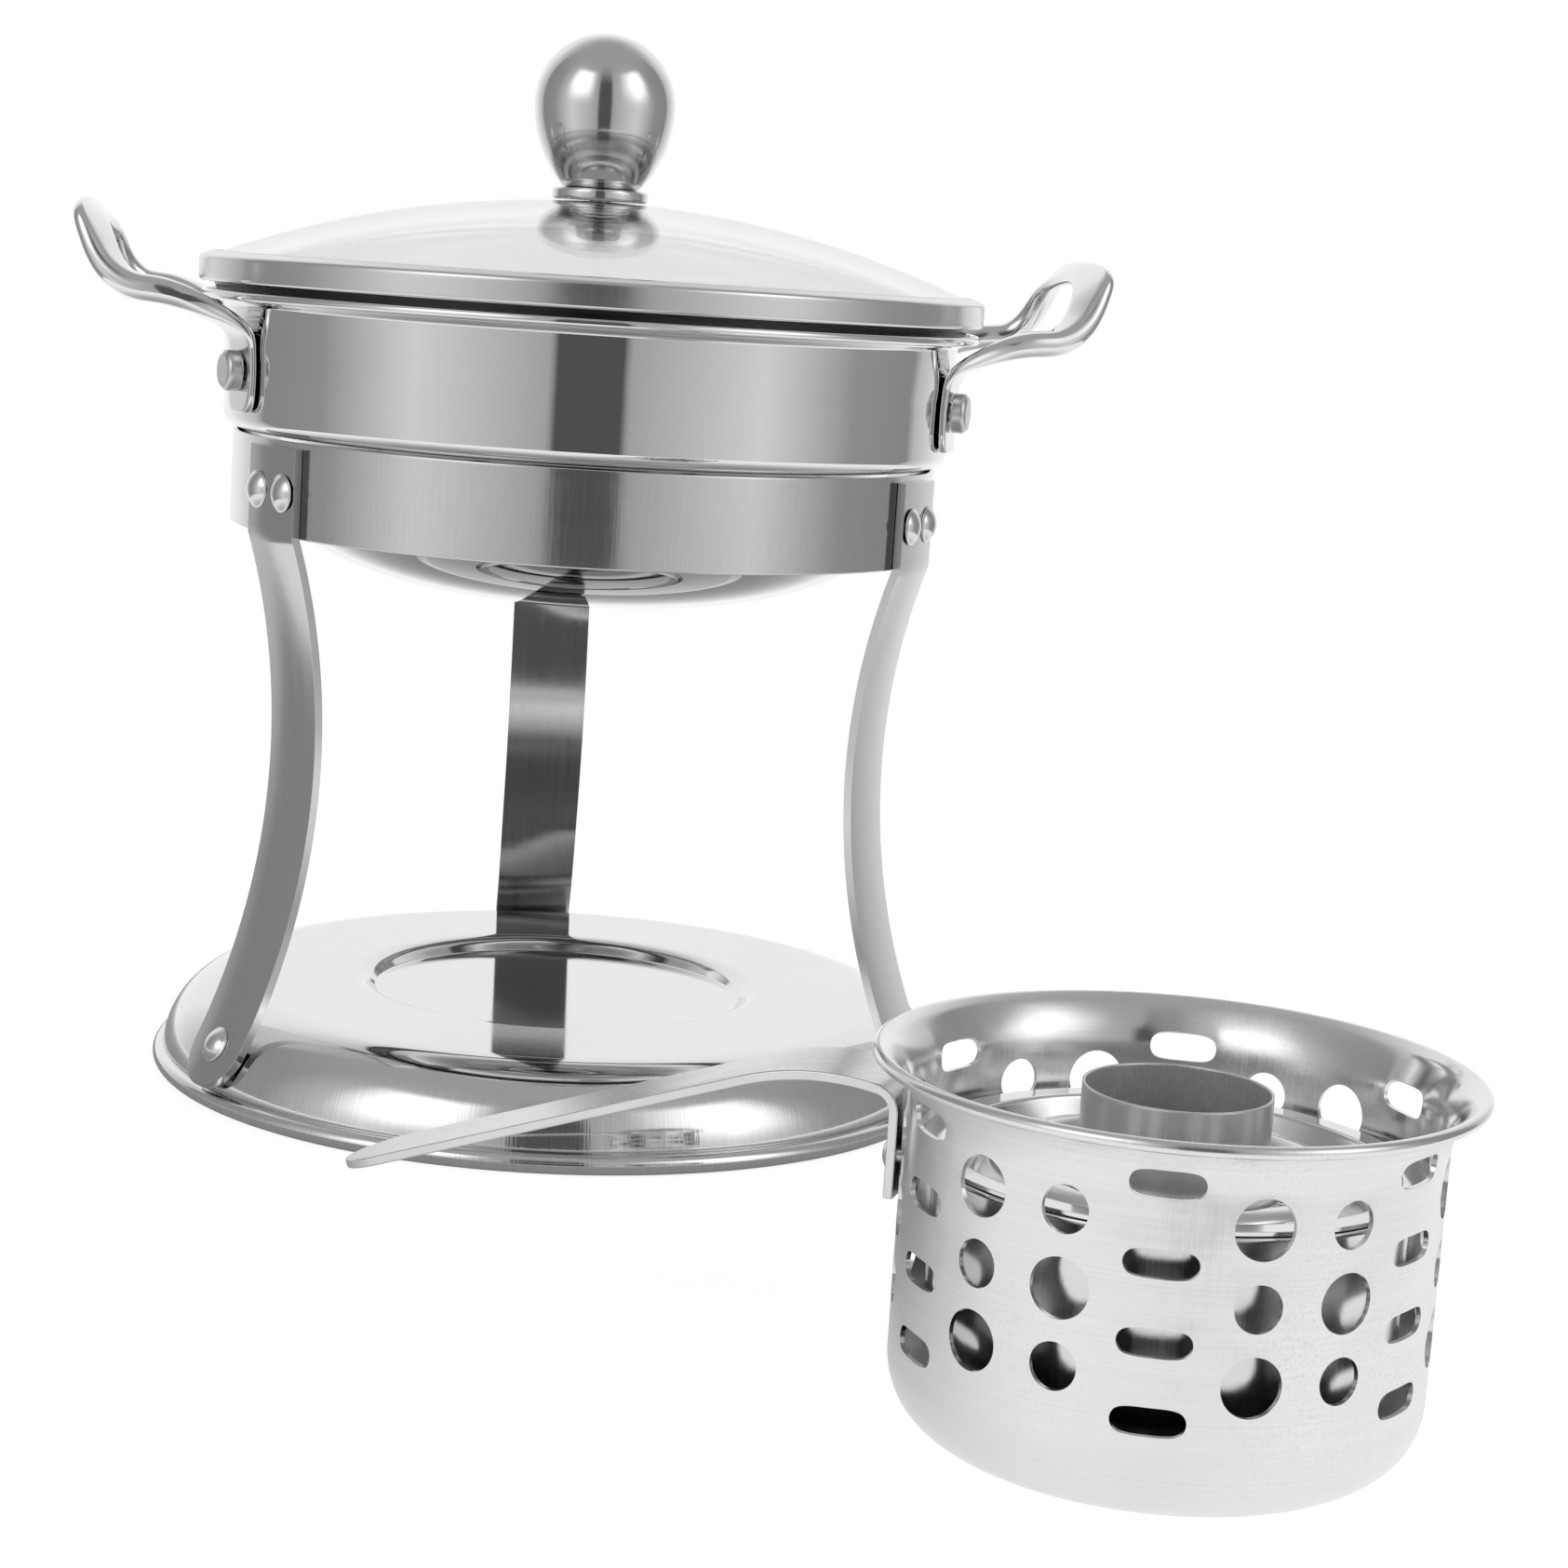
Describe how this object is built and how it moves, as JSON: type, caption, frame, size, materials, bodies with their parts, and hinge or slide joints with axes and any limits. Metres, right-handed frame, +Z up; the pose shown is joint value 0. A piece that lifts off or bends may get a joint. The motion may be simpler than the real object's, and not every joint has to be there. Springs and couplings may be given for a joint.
{
  "type": "spirit-burner fondue pot set",
  "caption": "Shouldered steel pot with loop handles and a domed glass lid, on a ring stand with strap legs and a spun base, beside a perforated spirit burner.",
  "frame": {"origin": "on the stand's axis, at the table top under the base's curled rim", "axes": "+Z up along the axis of the stand, the pot and the lid; +X through the right pot handle; -Y to the front, where the burner stands"},
  "size_m": [0.261, 0.3986, 0.25],
  "materials": {
    "polished_steel": "mirror polished",
    "satin_steel": "satin",
    "rivet_steel": "bright",
    "cup_steel": "half bright",
    "dark_wire": "dull",
    "clear_glass": "clear, tempered"
  },
  "bodies": {
    "stand": {"base_plate": "polished_steel", "leg_left": "satin_steel", "leg_right": "satin_steel", "leg_rear": "satin_steel", "leg_foot_rivets": "rivet_steel", "ring_band": "polished_steel", "leg_top_rivets": "rivet_steel"},
    "pot": {"pot_body": "polished_steel", "handle_left": "polished_steel", "handle_right": "polished_steel", "handle_rivets_left": "rivet_steel", "handle_rivets_right": "rivet_steel"},
    "lid": {"lid_hoop": "polished_steel", "lid_glass": "clear_glass", "knob_washer": "satin_steel", "knob_screw": "rivet_steel", "knob_collar": "polished_steel", "lid_knob": "polished_steel"},
    "burner": {"burner_cup": "cup_steel", "burner_handle": "satin_steel", "burner_handle_rivets": "rivet_steel"},
    "fuel_holder": {"fuel_bowl": "cup_steel"},
    "flame_head": {"burner_head": "cup_steel", "burner_chimney": "dark_wire", "wire_gauze": "dark_wire"}
  },
  "joints": [
    {"name": "pot_lift", "type": "slide", "parent": "stand", "child": "pot", "axis": [0, 0, 1], "range_m": [0, 0.09]},
    {"name": "lid_lift", "type": "slide", "parent": "pot", "child": "lid", "axis": [0, 0, 1], "range_m": [0, 0.08]},
    {"name": "burner_lift", "type": "slide", "parent": "stand", "child": "burner", "axis": [0, 0, 1], "range_m": [0, 0.06]},
    {"name": "bowl_lift", "type": "slide", "parent": "burner", "child": "fuel_holder", "axis": [0, 0, 1], "range_m": [0, 0.07]},
    {"name": "head_lift", "type": "slide", "parent": "fuel_holder", "child": "flame_head", "axis": [0, 0, 1], "range_m": [0, 0.04]}
  ]
}
